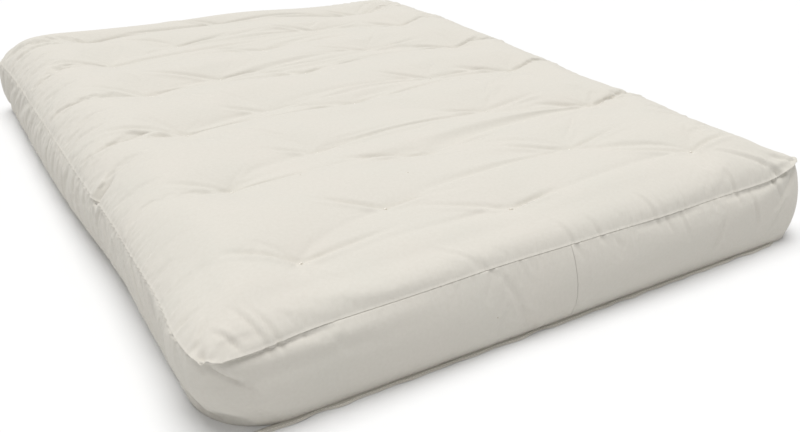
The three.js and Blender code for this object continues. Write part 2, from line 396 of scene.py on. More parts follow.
def simulate_casing(top, border):
    """Inflates the casing between its seams and tufts, and returns its two grids of points."""
    points, faces = skirted(top, border[1:])
    shift = cut_shift()
    side_shift = SIDE_SHARE * np.repeat(round_edge(shift)[None], BORDER_ROWS, 0)
    side_shift[..., 2] = SLACK_UP * border[1:, :, 2]
    cut = points + np.concatenate([shift.reshape(-1, 3), side_shift.reshape(-1, 3)])
    flat = top.reshape(-1, 3)
    tied = []
    for tuft_x, tuft_y in TUFTS.values():
        away = np.hypot(flat[:, 0] - tuft_x, flat[:, 1] - tuft_y)
        tied.extend(np.argsort(away)[:TIED_POINTS])
    front = smooth(-points[tied, 1], *FRONT_TUFT_SPAN)
    points[tied, 2] -= TUFT_DEPTH + (FRONT_TUFT_DEPTH - TUFT_DEPTH) * front
    cloth = add_mesh("cloth", points, faces)
    cloth.shape_key_add(name="start")
    size = cloth.shape_key_add(name="cut")
    size.data.foreach_set("co", cut.ravel())
    for step, value in ((1, 1), (GATHER_STEPS, 0)):
        size.value = value
        size.keyframe_insert("value", frame=step)

    group = cloth.vertex_groups.new(name="held")
    ids = np.arange(top.shape[0] * top.shape[1]).reshape(top.shape[:2])
    hold(group, round_edge(ids), SEAM_HOLD)
    hold(group, range(len(points) - border.shape[1], len(points)), 1)
    hold(group, tied, 1)

    modifier = cloth.modifiers.new("cloth", "CLOTH")
    settings = modifier.settings
    settings.quality = 5
    settings.mass = 0.3
    settings.vertex_group_mass = "held"
    settings.pin_stiffness = 1.0
    settings.tension_stiffness = 30
    settings.compression_stiffness = 30
    settings.shear_stiffness = 8
    settings.bending_stiffness = 0.12
    settings.air_damping = 2
    settings.use_pressure = True
    settings.uniform_pressure_force = PRESSURE
    settings.effector_weights.gravity = 0
    modifier.collision_settings.use_collision = False
    scene = bpy.context.scene
    for step in range(1, SETTLE_STEPS + 1):
        scene.frame_set(step)

    graph = bpy.context.evaluated_depsgraph_get()
    result = cloth.evaluated_get(graph).to_mesh()
    moved = np.empty(len(points) * 3)
    result.vertices.foreach_get("co", moved)
    moved = moved.reshape(-1, 3)
    scene.frame_set(1)
    bpy.data.objects.remove(cloth)
    top = moved[: ids.size].reshape(top.shape)
    sides = moved[ids.size :].reshape(BORDER_ROWS, -1, 3)
    return top, np.concatenate([round_edge(top)[None], sides])


# ---- the filling's hold on the broad shape of the top ----
SWELL_KEPT = 0.85
SWELL_REACH = 0.035
CALM_SHARE = 0.85  # of the creases, pressed out in the two smooth parts of the top
TUFT_REACH = 0.07  # but not as close as this to a tuft
# how far left and how far in front of the middle each smooth part starts and is complete
CALM_PARTS = (((-0.05, 0.35), (0.25, 0.50)), ((-0.60, -0.40), (0.83, 0.90)))
RISE_REACH = 0.08
# where the filling lies higher or lower than the crown: (x, y), rise, half lengths in x and y
RISES = (
    ((-0.66, 0.85), 0.006, (0.14, 0.30)),
    ((-0.12, 0.88), -0.004, (0.16, 0.20)),
    ((0.50, 0.88), -0.042, (0.26, 0.25)),
    ((0.66, -0.15), -0.014, (0.22, 0.75)),
    ((-0.25, -0.93), -0.031, (0.62, 0.20)),
)


def settled(top):
    """Presses the broad swell of the cloth back towards the crown, but keeps its creases."""
    x, y = plan_lattice(TOP_HALF_WIDTH, TOP_HALF_LENGTH)
    swell = top[..., 2] - crown(x, y)
    broad = blurred(swell, SWELL_REACH / CELL)
    calm = np.zeros_like(x)
    for left, front in CALM_PARTS:
        calm = np.maximum(calm, smooth(-y, *front) * smooth(-x, *left))
    for tuft_x, tuft_y in TUFTS.values():
        away = np.hypot(x - tuft_x, y - tuft_y)
        calm *= 1 - np.exp(-((away / TUFT_REACH) ** 2))
    top = top.copy()
    top[..., 2] = crown(x, y) + SWELL_KEPT * broad + (swell - broad) * (1 - CALM_SHARE * calm)
    for (at_x, at_y), rise, (wide, long) in RISES:
        bump = np.exp(-(((x - at_x) / wide) ** 2) - ((y - at_y) / long) ** 2)
        top[..., 2] += rise * bump * smooth(inset(x, y), 0, RISE_REACH)
    return top


# ---- creases and puckers pressed into the sewn casing ----
PUCKER_DEPTH = 0.0011
PUCKER_REACH = 0.022
PUCKER_LENGTH = 0.022
# (place along the side, height over the seam) at each end, half width, depth
FRONT_CREASES = (
    ((-0.672, -0.004), (-0.712, 0.055), 0.0045, 0.0042),
    ((-0.628, -0.012), (-0.668, 0.085), 0.0050, 0.0042),
    ((-0.602, -0.016), (-0.640, 0.070), 0.0045, 0.0032),
    ((-0.560, -0.010), (-0.590, 0.045), 0.0045, 0.0018),
    ((-0.180, 0.012), (-0.262, 0.090), 0.0050, 0.0022),
    ((-0.150, -0.020), (-0.205, 0.060), 0.0050, 0.0020),
    ((-0.075, -0.150), (-0.125, -0.070), 0.0070, 0.0040),
    ((-0.055, -0.165), (-0.095, -0.095), 0.0060, 0.0035),
    ((0.055, -0.030), (0.010, 0.075), 0.0050, 0.0024),
    ((0.120, -0.020), (0.085, 0.055), 0.0050, 0.0022),
    ((0.270, -0.020), (0.235, 0.065), 0.0050, 0.0026),
    ((0.300, -0.035), (0.275, 0.040), 0.0045, 0.0022),
    ((0.345, -0.060), (0.325, 0.030), 0.0050, 0.0024),
    ((0.430, -0.110), (0.470, -0.030), 0.0070, 0.0036),
    ((0.520, -0.030), (0.495, 0.060), 0.0050, 0.0026),
    ((0.575, -0.090), (0.548, 0.020), 0.0055, 0.0028),
    ((0.700, -0.020), (0.500, 0.115), 0.0050, 0.0045),
    ((0.660, -0.050), (0.610, 0.060), 0.0045, 0.0032),
)
LEFT_CREASES = (
    ((-0.290, -0.004), (-0.270, 0.052), 0.0098, 0.0155),
    ((-0.300, -0.050), (-0.322, 0.010), 0.0060, 0.0040),
    ((-0.952, -0.004), (-0.905, 0.045), 0.0050, 0.0036),
    ((-0.880, -0.006), (-0.850, 0.040), 0.0050, 0.0022),
)
CORNER_CREASES = (
    ((-0.756, -1.003), (-0.722, -0.952), 0.0055, 0.0060),
    ((-0.742, -1.010), (-0.690, -0.985), 0.0050, 0.0048),
    ((0.742, -0.985), (0.640, -0.930), 0.0050, 0.0040),
    ((0.752, -0.950), (0.690, -0.840), 0.0045, 0.0030),
    ((-0.745, 0.995), (-0.690, 0.930), 0.0060, 0.0050),
    ((0.745, 0.995), (0.680, 0.945), 0.0060, 0.0050),
)
# a roll of cloth that stands out under the front's seam, as a crease of negative depth
FRONT_ROLL = ((-0.770, -0.021), (-0.280, -0.021), 0.0150, -0.0036)
# (heading from +X in degrees, half width) of the creases that run from each tuft; the sign of
# the half width says which side the raised lip is on
TUFT_CREASES = ((4, 0.008), (157, -0.008))
TUFT_CREASE_LENGTH = (0.13, 0.25)
TUFT_CREASE_DEPTH = (0.0040, 0.0070)
TUFT_CREASE_TURN = 8  # degrees either way
TUFT_SEED = 7
# shares of a crease's length over which it opens and closes
CREASE_OPENS = (-0.12, 0.2)
CREASE_CLOSES = (0.45, 1.05)
CREASE_LIP = 0.6  # the lip's height, as a share of the valley's depth
CREASE_LIP_PLACE = 1.9  # half widths from the valley
# the small gathers across the seams of the two sides that face away
SPARE_CREASES = 26
SPARE_SEED = 11
SPARE_MARGIN = 0.1  # from the corners
SPARE_LOW = (-0.07, 0)
SPARE_HIGH = (0.02, 0.08)
SPARE_LEAN = 0.04
SPARE_DEPTH = (0.0012, 0.0032)
SPARE_HALF_WIDTH = (0.004, 0.007)
FACING = (0.4, 0.8)  # how squarely the border faces a side as that side's creases set in
FLOOR_CALM = 0.02  # no creases where the border meets the floor


def crease(x, y, start, end, width, depth):
    """Height change of a soft valley from start to end, with a raised lip along one side."""
    start, end = np.array(start), np.array(end)
    length = np.linalg.norm(end - start)
    way = (end - start) / length
    along = ((x - start[0]) * way[0] + (y - start[1]) * way[1]) / length
    across = ((x - start[0]) * way[1] - (y - start[1]) * way[0]) / width
    fade = smooth(along, *CREASE_OPENS) * (1 - smooth(along, *CREASE_CLOSES))
    lip = CREASE_LIP * np.exp(-((across - CREASE_LIP_PLACE) ** 2))
    return depth * fade * (lip - np.exp(-(across**2)))


def tuft_creases(seed):
    """The creases that the twine gathers at each tuft, in the form of CORNER_CREASES."""
    random = np.random.default_rng(seed)
    made = []
    for x, y in TUFTS.values():
        for heading, width in TUFT_CREASES:
            turn = random.uniform(-TUFT_CREASE_TURN, TUFT_CREASE_TURN)
            angle = math.radians(heading + turn)
            length = random.uniform(*TUFT_CREASE_LENGTH)
            end = (x + length * math.cos(angle), y + length * math.sin(angle))
            made.append(((x, y), end, width, random.uniform(*TUFT_CREASE_DEPTH)))
    return made


def spare_creases(reach, seed):
    """Seeded small gathers across a seam, in the form of FRONT_CREASES."""
    random = np.random.default_rng(seed)
    made = []
    for at in random.uniform(-reach, reach, SPARE_CREASES):
        low, high = random.uniform(*SPARE_LOW), random.uniform(*SPARE_HIGH)
        lean = random.uniform(-SPARE_LEAN, SPARE_LEAN)
        depth = random.uniform(*SPARE_DEPTH)
        made.append(((at, low), (at + lean, high), random.uniform(*SPARE_HALF_WIDTH), depth))
    return tuple(made)


SIDE_CREASES = (
    FRONT_CREASES,
    spare_creases(TOP_HALF_LENGTH - SPARE_MARGIN, SPARE_SEED),
    spare_creases(TOP_HALF_WIDTH - SPARE_MARGIN, SPARE_SEED + 1),
    LEFT_CREASES,
)


def pressed(place, over, creases, seed):
    """Height change at a place along a side and a height over its seam, in cloth terms."""
    pucker = ripple(place[..., None], PUCKER_LENGTH, seed) * np.exp(-np.abs(over) / PUCKER_REACH)
    return PUCKER_DEPTH * pucker + sum(crease(place, over, *one) for one in creases)


def top_detail(top):
    x, y = top[..., 0], top[..., 1]
    sides = (
        (x, y + TOP_HALF_LENGTH),
        (y, TOP_HALF_WIDTH - x),
        (x, TOP_HALF_LENGTH - y),
        (y, x + TOP_HALF_WIDTH),
    )
    height = sum(crease(x, y, *one) for one in [*CORNER_CREASES, *tuft_creases(TUFT_SEED)])
    for seed, ((place, over), creases) in enumerate(zip(sides, SIDE_CREASES)):
        height += pressed(place, over, creases, seed)
    return top + surface_normals(top) * height[..., None]


def border_detail(border):
    out = outward(border[0])
    over = border[..., 2] - border[0, :, 2]
    height = np.zeros(border.shape[:2])
    facing = (-out[:, 1], out[:, 0], out[:, 1], -out[:, 0])
    for seed, (face, creases) in enumerate(zip(facing, SIDE_CREASES)):
        place = border[..., seed % 2]
        height += smooth(face, *FACING) * pressed(place, over, creases, seed)
    height += smooth(-out[:, 1], *FACING) * crease(border[..., 0], over, *FRONT_ROLL)
    height *= smooth(border[..., 2], 0, FLOOR_CALM)
    return border + surface_normals(border, wrap=True) * height[..., None]


# ---- materials ----
COTTON_WARM = (0.672, 0.634, 0.574, 1)
COTTON_COOL = (0.643, 0.625, 0.565, 1)
COTTON_THICK = (0.72, 0.69, 0.63, 1)
COTTON_THIN = (0.54, 0.51, 0.44, 1)
SEED_COLOUR = (0.30, 0.22, 0.13, 1)
BATTING_COLOURS = ((0.78, 0.74, 0.66, 1), (0.88, 0.85, 0.79, 1))
TRASH_COLOUR = (0.55, 0.49, 0.38, 1)
FOAM_COLOURS = ((0.80, 0.72, 0.47, 1), (0.86, 0.80, 0.58, 1))
# painted shade for the hollows of the foam's cells
FOAM_PAINTED_SHADE = (0.58, 0.48, 0.27, 1)
TWINE_COLOURS = ((0.84, 0.80, 0.72, 1), (0.96, 0.94, 0.89, 1))
YARN_PITCH = 0.0009
WAVE_TURNS = 20 / (2 * math.pi)  # bands of a wave texture in one unit, at a scale of 1
SEED_SPACING = 0.075
SEED_RADIUS = 0.0013
SEED_SHARE = 0.4
SEED_STRENGTH = 0.75


def node(tree, kind, settings=(), **inputs):
    """Adds a shader node. Inputs are named, or numbered as i0, i1; a socket is linked."""
    made = tree.nodes.new("ShaderNode" + kind)
    for name, value in dict(settings).items():
        setattr(made, name, value)
    for name, value in inputs.items():
        key = int(name[1:]) if name[1:].isdigit() else name.replace("_", " ")
        if isinstance(value, bpy.types.NodeSocket):
            tree.links.new(value, made.inputs[key])
        else:
            made.inputs[key].default_value = value
    return made


def maths(tree, operation, first, second):
    return node(tree, "Math", {"operation": operation}, i0=first, i1=second).outputs[0]


def blended(tree, share, first, second):
    """A colour between two colours."""
    made = node(tree, "Mix", {"data_type": "RGBA"}, i0=share, i6=first, i7=second)
    return made.outputs[2]


def noise(tree, place, stretch, detail=2.0):
    """Noise from 0 to 1, with about this many waves in a metre along each axis."""
    scaled = node(tree, "Mapping", Vector=place, Scale=stretch).outputs[0]
    return node(tree, "TexNoise", Vector=scaled, Scale=1.0, Detail=detail).outputs[0]


def start_material(name, roughness, sheen):
    material = bpy.data.materials.new(name)
    material.use_nodes = True
    tree = material.node_tree
    shader = tree.nodes["Principled BSDF"]
    shader.inputs["Roughness"].default_value = roughness
    shader.inputs["Sheen Weight"].default_value = sheen
    shader.inputs["Sheen Roughness"].default_value = 0.6
    shader.inputs["Specular IOR Level"].default_value = 0.25
    return material, tree, shader


def raise_bump(tree, shader, height, distance, strength=1.0):
    bump = node(tree, "Bump", Height=height, Distance=distance, Strength=strength)
    tree.links.new(bump.outputs[0], shader.inputs["Normal"])


def cotton_material():
    """Plain-woven unbleached cotton: yarns, slubs, faint mottling and flecks of seed."""
    material, tree, shader = start_material("unbleached_cotton", 0.93, 0.10)
    place = node(tree, "Attribute", {"attribute_name": "cloth_place"}).outputs["Vector"]
    scale = 1 / (YARN_PITCH * WAVE_TURNS)
    yarns = []
    for direction in ("X", "Y"):
        settings = {"bands_direction": direction}
        yarns.append(node(tree, "TexWave", settings, Vector=place, Scale=scale).outputs[1])
    weave = maths(tree, "MULTIPLY", *yarns)
    across = noise(tree, place, (45, 800, 1))
    along = noise(tree, place, (800, 45, 1))
    slub = maths(tree, "MAXIMUM", across, along)
    mottle = noise(tree, place, (7, 7, 1), 3.0)
    fine = noise(tree, place, (140, 140, 1), 5.0)

    base = blended(tree, mottle, COTTON_COOL, COTTON_WARM)
    thick = node(tree, "MapRange", Value=slub, From_Min=0.55, From_Max=0.8, To_Max=0.16).outputs[0]
    base = blended(tree, thick, base, COTTON_THICK)
    thin = node(tree, "MapRange", Value=fine, From_Min=0.35, From_Max=0.7, To_Max=0.17).outputs[0]
    base = blended(tree, thin, base, COTTON_THIN)
    cells = node(tree, "TexVoronoi", Vector=place, Scale=1 / SEED_SPACING)
    near = maths(tree, "LESS_THAN", cells.outputs["Distance"], SEED_RADIUS / SEED_SPACING)
    lucky = node(tree, "SeparateColor", Color=cells.outputs["Color"]).outputs[0]
    seed = maths(tree, "MULTIPLY", near, maths(tree, "LESS_THAN", lucky, SEED_SHARE))
    base = blended(tree, maths(tree, "MULTIPLY", seed, SEED_STRENGTH), base, SEED_COLOUR)
    tree.links.new(base, shader.inputs["Base Color"])

    height = maths(tree, "ADD", maths(tree, "MULTIPLY", weave, 0.35), slub)
    raise_bump(tree, shader, maths(tree, "ADD", height, fine), distance=0.0005, strength=0.6)
    return material


def batting_material():
    """Needled cotton batting: matted fibres, and darker trash in places."""
    material, tree, shader = start_material("cotton_batting", 1.0, 0.25)
    place = node(tree, "TexCoord").outputs["Object"]
    clump = noise(tree, place, (28, 28, 40), 5.0)
    fibre = noise(tree, place, (160, 900, 500), 3.0)
    base = blended(tree, clump, *BATTING_COLOURS)
    dark = node(tree, "MapRange", Value=fibre, From_Min=0.62, From_Max=0.8, To_Max=0.35).outputs[0]
    base = blended(tree, dark, base, TRASH_COLOUR)
    tree.links.new(base, shader.inputs["Base Color"])
    raise_bump(tree, shader, maths(tree, "ADD", clump, fibre), distance=0.004)
    return material


def foam_material():
    """Open-celled foam, yellowed a little, with painted shade in the hollows of its cells."""
    material, tree, shader = start_material("foam", 0.85, 0.0)
    place = node(tree, "TexCoord").outputs["Object"]
    tone = noise(tree, place, (12, 12, 30), 3.0)
    cells = node(tree, "TexVoronoi", Vector=place, Scale=620.0).outputs["Distance"]
    base = blended(tree, tone, *FOAM_COLOURS)
    # painted shade: darker towards the middle of each cell, where the bump sinks into a hollow
    hollow_shade = node(tree, "MapRange", Value=cells, From_Max=0.5, To_Min=0.3, To_Max=0.0).outputs[0]
    base = blended(tree, hollow_shade, base, FOAM_PAINTED_SHADE)
    tree.links.new(base, shader.inputs["Base Color"])
    raise_bump(tree, shader, cells, distance=0.0012)
    return material


def twine_material():
    """Waxed cotton twine."""
    material, tree, shader = start_material("tuft_twine", 0.6, 0.1)
    place = node(tree, "TexCoord").outputs["Object"]
    fibre = noise(tree, place, (900, 900, 900), 3.0)
    base = blended(tree, fibre, *TWINE_COLOURS)
    tree.links.new(base, shader.inputs["Base Color"])
    raise_bump(tree, shader, fibre, distance=0.0004)
    return material


COTTON = cotton_material()
BATTING = batting_material()
FOAM = foam_material()
TWINE = twine_material()
make_camera()
make_stage()


def finish_piece(piece, material, nodes):
    """Gives a piece its material, bakes its transform and has it stand for its nodes, which are
    hidden.
    """
    piece.data.materials.append(material)
    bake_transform(piece)
    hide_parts(*nodes)
    return piece


def halves(name):
    return [f"{name}_seat", f"{name}_back"]


# ---- the casing's pieces, from its simulated shape ----
REFINE = 2
LIP = ((0.0004, 0.0002), (0.0008, 0.0007), (0.0007, 0.0012), (-0.0004, 0.0015), (-0.012, 0.0022))
TURN_IN = ((-0.012, 0.0040), (0.0002, 0.0016))  # the border's own edge under the lip
JOIN_PLACE = 0.035  # the border's join, right of the middle of the front
JOIN_DEPTH = 0.0004
JOIN_WIDTH = 0.0022
JOIN_ALLOWANCE = 0.010
JOIN_COLUMNS = (0, 0.02, 0.2, 0.4, 0.7)  # places of the points closest to a join
HEM = ((0.001, 0.0003), (-0.002, 0.0014), (-0.010, 0.0030))  # the bottom's edge, turned in


def refined(grid, wrap=False):
    first = np.arange(round((grid.shape[0] - 1) * REFINE) + 1) / REFINE
    count = grid.shape[1] if wrap else grid.shape[1] - 1
    second = np.arange(round(count * REFINE) + (0 if wrap else 1)) / REFINE
    return swapped(curve_through(swapped(curve_through(grid, first)), second, wrap))


def beside(loop, out, down):
    """The points of a loop moved outward in plan and down."""
    return loop + outward(loop) * out - np.array((0, 0, down))


def top_panel(top):
    edge = round_edge(top)
    rows = [beside(edge, out, down) for out, down in LIP]
    points, faces = skirted(top, rows)
    x, y = np.meshgrid(
        lattice(top.shape[0] - 1, TOP_HALF_WIDTH),
        lattice(top.shape[1] - 1, TOP_HALF_LENGTH),
        indexing="ij",
    )
    flat = np.stack([x, y, np.zeros_like(x)], -1)
    flat_edge = round_edge(flat)
    place = np.concatenate([flat.reshape(-1, 3), *[beside(flat_edge, out, 0) for out, _ in LIP]])
    return add_mesh("casing_top_panel", points, faces, place)


def border_strip(name, border, first, last):
    """The border's columns from first to last, with a turned-in join at both ends."""
    edge = border[0]
    rows = [beside(edge, out, down) for out, down in TURN_IN]
    wide = swapped(np.concatenate([np.array(rows), border[1:]]))
    ends = np.array(JOIN_COLUMNS)
    places = np.concatenate([first + ends, np.arange(first + 1, last), last - ends[::-1]])
    strip = curve_through(wide, places % len(wide), wrap=True)
    spacing = np.linalg.norm(edge[1] - edge[0])
    in_ward = -outward(strip[:, 2])[:, None]
    near = np.minimum(places - first, last - places) * spacing
    strip = strip + in_ward * (JOIN_DEPTH * np.exp(-((near / JOIN_WIDTH) ** 2)))[:, None, None]
    # outward() takes a closed loop, so the direction at the two ends is its neighbour's
    flap_first = strip[:1] + in_ward[2:3] * JOIN_ALLOWANCE
    flap_last = strip[-1:] + in_ward[-3:-2] * JOIN_ALLOWANCE
    strip = np.concatenate([flap_first, strip, flap_last])
    along = np.concatenate([[first], places, [last]]) * spacing
    place = np.zeros_like(strip)
    place[..., 0] = along[:, None]
    place[..., 1] = strip[..., 2]
    ids = np.arange(strip.shape[0] * strip.shape[1]).reshape(strip.shape[:2])
    faces = quads(ids)[:, ::-1]
    return add_mesh(name, strip.reshape(-1, 3), faces, place.reshape(-1, 3))


# ---- the underside ----
CONTACT_DEPTH = 0.003  # folds shallower than this are pressed flat by the floor
UNDER_SHARE = 0.62  # depth of the underside's folds, as a share of the top's
UNDER_DEEPEST = 0.013
UNDER_EDGE = (0.010, 0.070)  # distances in from the edge over which the folds set in
UNDER_SOFTNESS = 0.7  # cells


def underside(top):
    """The bottom panel: flat where it rests, and drawn up by the twine like the top."""
    x, y = plan_lattice(TOP_HALF_WIDTH, TOP_HALF_LENGTH)
    drawn = crown(x, y) - CONTACT_DEPTH - top[..., 2]
    depth = np.clip(drawn * UNDER_SHARE, 0, None) * smooth(inset(x, y), *UNDER_EDGE)
    floor = floor_grid()
    floor[..., 2] = blurred(UNDER_DEEPEST * np.tanh(depth / UNDER_DEEPEST), UNDER_SOFTNESS)
    return floor


def bottom_panel(floor):
    edge = round_edge(floor)
    rows = [beside(edge, out, -up) for out, up in HEM]
    points, faces = skirted(floor, rows)
    place = points * (1, 1, 0)
    return add_mesh("casing_bottom_panel", points, faces[:, ::-1], place)


# ---- the closing seam along the front ----
flange_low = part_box("closing_seam_seat")[0]
FLANGE_REACH = -flange_low.x
FLANGE_OUT = flange_low.y
FLANGE_TUCK = 0.004  # how far its inner edge lies under the casing
FLANGE_BACK = -BOTTOM_HALF_LENGTH + FLANGE_TUCK
FLANGE_THICK = 0.0020
FLANGE_STEP = 0.006
FLANGE_SECTION = 12
FLANGE_FULLNESS = 0.6  # powers that flatten the section, outwards and upwards
FLANGE_ROUNDNESS = 0.45
FLANGE_TAPER = 0.05
FLANGE_CLEARANCE = 0.0001  # over the floor
FLANGE_WAVE = 0.0013  # in and out
FLANGE_LIFT = 0.0016  # and up, in places
LIFT_SPAN = (-0.2, 1.2)  # from the ripple's value without a lift to that with all of it
WAVE_LENGTH = 0.11
LIFT_LENGTH = 0.16
STITCH_MARGIN = 0.03  # without stitches at the flange's ends
STITCH_PATH = (-0.5, -0.25, 0.25, 0.5)  # along a stitch, in lengths
STITCH_ARCH = (-0.4, 0.5, 0.5, -0.4)  # and its height there, in radii
STITCH_PITCH = 0.0070
STITCH_LENGTH = 0.0052
STITCH_RADIUS = 0.0005
STITCH_INSET = 0.0045  # from the folded edge


def flange_line(x):
    """How far out and how high the flange's folded edge is at a place along it."""
    place = x[..., None]
    taper = smooth(FLANGE_REACH - np.abs(x), 0, FLANGE_TAPER)
    wave = FLANGE_WAVE * ripple(place, WAVE_LENGTH, 5)
    out = FLANGE_BACK + (FLANGE_OUT - FLANGE_BACK + wave) * taper
    lift = FLANGE_LIFT * smooth(ripple(place, LIFT_LENGTH, 6), *LIFT_SPAN)
    high = FLANGE_THICK / 2 + FLANGE_CLEARANCE + lift
    return out, high


def flange_mesh():
    x = np.linspace(-FLANGE_REACH, FLANGE_REACH, round(2 * FLANGE_REACH / FLANGE_STEP))
    out, high = flange_line(x)
    turn = np.linspace(0, 2 * math.pi, FLANGE_SECTION + 1)
    reach = (1 - np.cos(turn)) / 2  # 0 at the casing and 1 at the folded edge
    y = FLANGE_BACK + (out - FLANGE_BACK)[:, None] * reach**FLANGE_FULLNESS
    z = FLANGE_THICK / 2 + (high[:, None] - FLANGE_THICK / 2) * reach
    bulge = np.sign(np.sin(turn)) * np.abs(np.sin(turn)) ** FLANGE_ROUNDNESS
    z = z + FLANGE_THICK / 2 * bulge
    points = np.stack([np.repeat(x[:, None], len(turn), 1), y, z], -1)
    ids = np.arange(points.shape[0] * points.shape[1]).reshape(points.shape[:2])
    ids[:, -1] = ids[:, 0]
    place = points.copy()
    place[..., 2] = 0
    return add_mesh("closing_flange", points.reshape(-1, 3), quads(ids), place.reshape(-1, 3))


# ---- twine and thread ----
TUBE_SIDES = 6  # an even number, which quads can close at the ends
OBLIQUE = (0.31, 0.87, 0.39)  # a direction that no path runs in, to take a path's sides from
PATH_SAMPLES = 24  # for each point of a path, when it is spread evenly


def tube(path, radius):
    """Points and quads of a round tube along a path, closed at both ends."""
    way = np.gradient(path, axis=0)
    way /= np.linalg.norm(way, axis=1, keepdims=True)
    side = np.cross(way[0], OBLIQUE)
    rings = []
    for point, direction in zip(path, way):
        side = side - direction * side.dot(direction)
        side /= np.linalg.norm(side)
        up = np.cross(direction, side)
        turn = np.arange(TUBE_SIDES) * 2 * math.pi / TUBE_SIDES
        ring = np.cos(turn)[:, None] * side + np.sin(turn)[:, None] * up
        rings.append(point + radius * ring)
    ids = np.arange(len(path) * TUBE_SIDES).reshape(len(path), TUBE_SIDES)
    sides = quads(np.concatenate([ids, ids[:, :1]], 1))
    caps = []
    for ring in (ids[0, ::-1], ids[-1]):
        for k in range(0, TUBE_SIDES - 2, 2):
            caps.append([ring[0], ring[k + 1], ring[k + 2], ring[(k + 3) % TUBE_SIDES]])
    return np.concatenate(rings), np.concatenate([sides, np.array(caps)])


def joined(parts):
    """One set of points and quads from several."""
    points, faces, count = [], [], 0
    for part_points, part_faces in parts:
        points.append(part_points)
        faces.append(part_faces + count)
        count += len(part_points)
    return np.concatenate(points), np.concatenate(faces)


def spaced(path, step):
    """The points of a path, smoothed and spread evenly about a step apart."""
    fine = curve_through(path, np.linspace(0, len(path) - 1, PATH_SAMPLES * len(path)))
    gone = np.concatenate([[0], np.cumsum(np.linalg.norm(np.diff(fine, axis=0), axis=1))])
    even = np.linspace(0, gone[-1], max(round(gone[-1] / step), 2) + 1)
    return np.stack([np.interp(even, gone, fine[:, k]) for k in range(3)], 1)


TWINE_RADIUS = 0.0013
PLY_PITCH = 0.011
PLY_STEP = 0.0022
PLY_SHARE = 0.56  # one strand's radius, as a share of the twine's


def two_ply(path):
    """Two strands twisted round each other along a path."""
    path = spaced(np.array(path), PLY_STEP)
    way = np.gradient(path, axis=0)
    way /= np.linalg.norm(way, axis=1, keepdims=True)
    side = np.cross(way, OBLIQUE)
    side /= np.linalg.norm(side, axis=1, keepdims=True)
    up = np.cross(way, side)
    angle = (np.arange(len(path)) * PLY_STEP / PLY_PITCH * 2 * math.pi)[:, None]
    offset = (side * np.cos(angle) + up * np.sin(angle)) * TWINE_RADIUS / 2
    strand = TWINE_RADIUS * PLY_SHARE
    return [tube(path + offset, strand), tube(path - offset, strand)]


STITCH_SPAN = 0.0045  # half the length of the stitch seen on the top
# the stitch from its hole to its middle: (share of the span, height over the cloth)
STITCH_LINE = ((0.8, -0.004), (1, -0.0004), (0.6, 0.0026))
TUFT_HEADING = (-0.5, 0.9)  # radians from +X
RUN_APART = 0.0016
RUN_POINTS = 5
RUN_TOP = -0.02  # where the straight run ends, below the cloth
KNOT_HEIGHT = 0.0062
KNOT_SIZE = (0.0012, 0.0011, 0.00028)
KNOT_TURNS = 2.12
KNOT_POINTS = 40
TAIL_STEPS = 4
TAIL_STEP = 0.0045
TAIL_Z = 0.0017
TAIL_FALL = 2.5  # steps in which a tail comes down to the floor
TAIL_BEND = 0.5  # radians in two steps, at most


def tuft_mesh(node_name, x, y, surface, seed):
    """The twine of one tuft: a stitch on the top, a loop through the filling and a knot."""
    random = np.random.default_rng(seed)
    heading = random.uniform(*TUFT_HEADING)
    way = np.array((math.cos(heading), math.sin(heading), 0))
    side = np.array((-way[1], way[0], 0))
    foot = np.array((x, y, 0))
    up = np.array((0, 0, 1.0))
    loop = []
    for sign in (1, -1):
        start = foot + way * sign * RUN_APART
        run = [start + up * z for z in np.linspace(KNOT_HEIGHT, surface + RUN_TOP, RUN_POINTS)]
        for share, rise in STITCH_LINE:
            run.append(foot + way * sign * STITCH_SPAN * share + up * (surface + rise))
        loop.append(run)
    knot = []
    wide, high, deep = KNOT_SIZE
    for t in np.linspace(-KNOT_TURNS, KNOT_TURNS, KNOT_POINTS):
        a, b, c = t**3 - 3 * t, t**4 - 4 * t**2, t**5 - 10 * t
        point = foot + side * a * wide + up * (KNOT_HEIGHT + b * high)
        knot.append(point + way * c * deep)
    tails = []
    for end, sign in ((knot[0], -1), (knot[-1], 1)):
        bend = random.uniform(-TAIL_BEND, TAIL_BEND)
        tail = []
        for k in range(1, TAIL_STEPS + 1):
            turn = bend * k / 2
            onward = way * sign * math.cos(turn) + side * math.sin(turn)
            point = end + onward * k * TAIL_STEP
            point[2] = TAIL_Z + (end[2] - TAIL_Z) * max(0, 1 - k / TAIL_FALL) ** 2
            tail.append(point)
        tails.append(tail)
    knot = tails[0][::-1] + knot + tails[1]
    points, faces = joined(two_ply(loop[0] + loop[1][::-1]) + two_ply(knot))
    return add_mesh("twine_" + node_name, points, faces)


def stitches():
    """The thread that closes the flange: short stitches on its upper face."""
    parts = []
    count = round(2 * (FLANGE_REACH - STITCH_MARGIN) / STITCH_PITCH)
    for x in (np.arange(count) - (count - 1) / 2) * STITCH_PITCH:
        places = x + np.array(STITCH_PATH) * STITCH_LENGTH
        out, high = flange_line(places)
        lift = FLANGE_THICK / 2 + np.array(STITCH_ARCH) * STITCH_RADIUS
        parts.append(tube(np.stack([places, out + STITCH_INSET, high + lift], 1), STITCH_RADIUS))
    return add_mesh("closing_thread", *joined(parts))


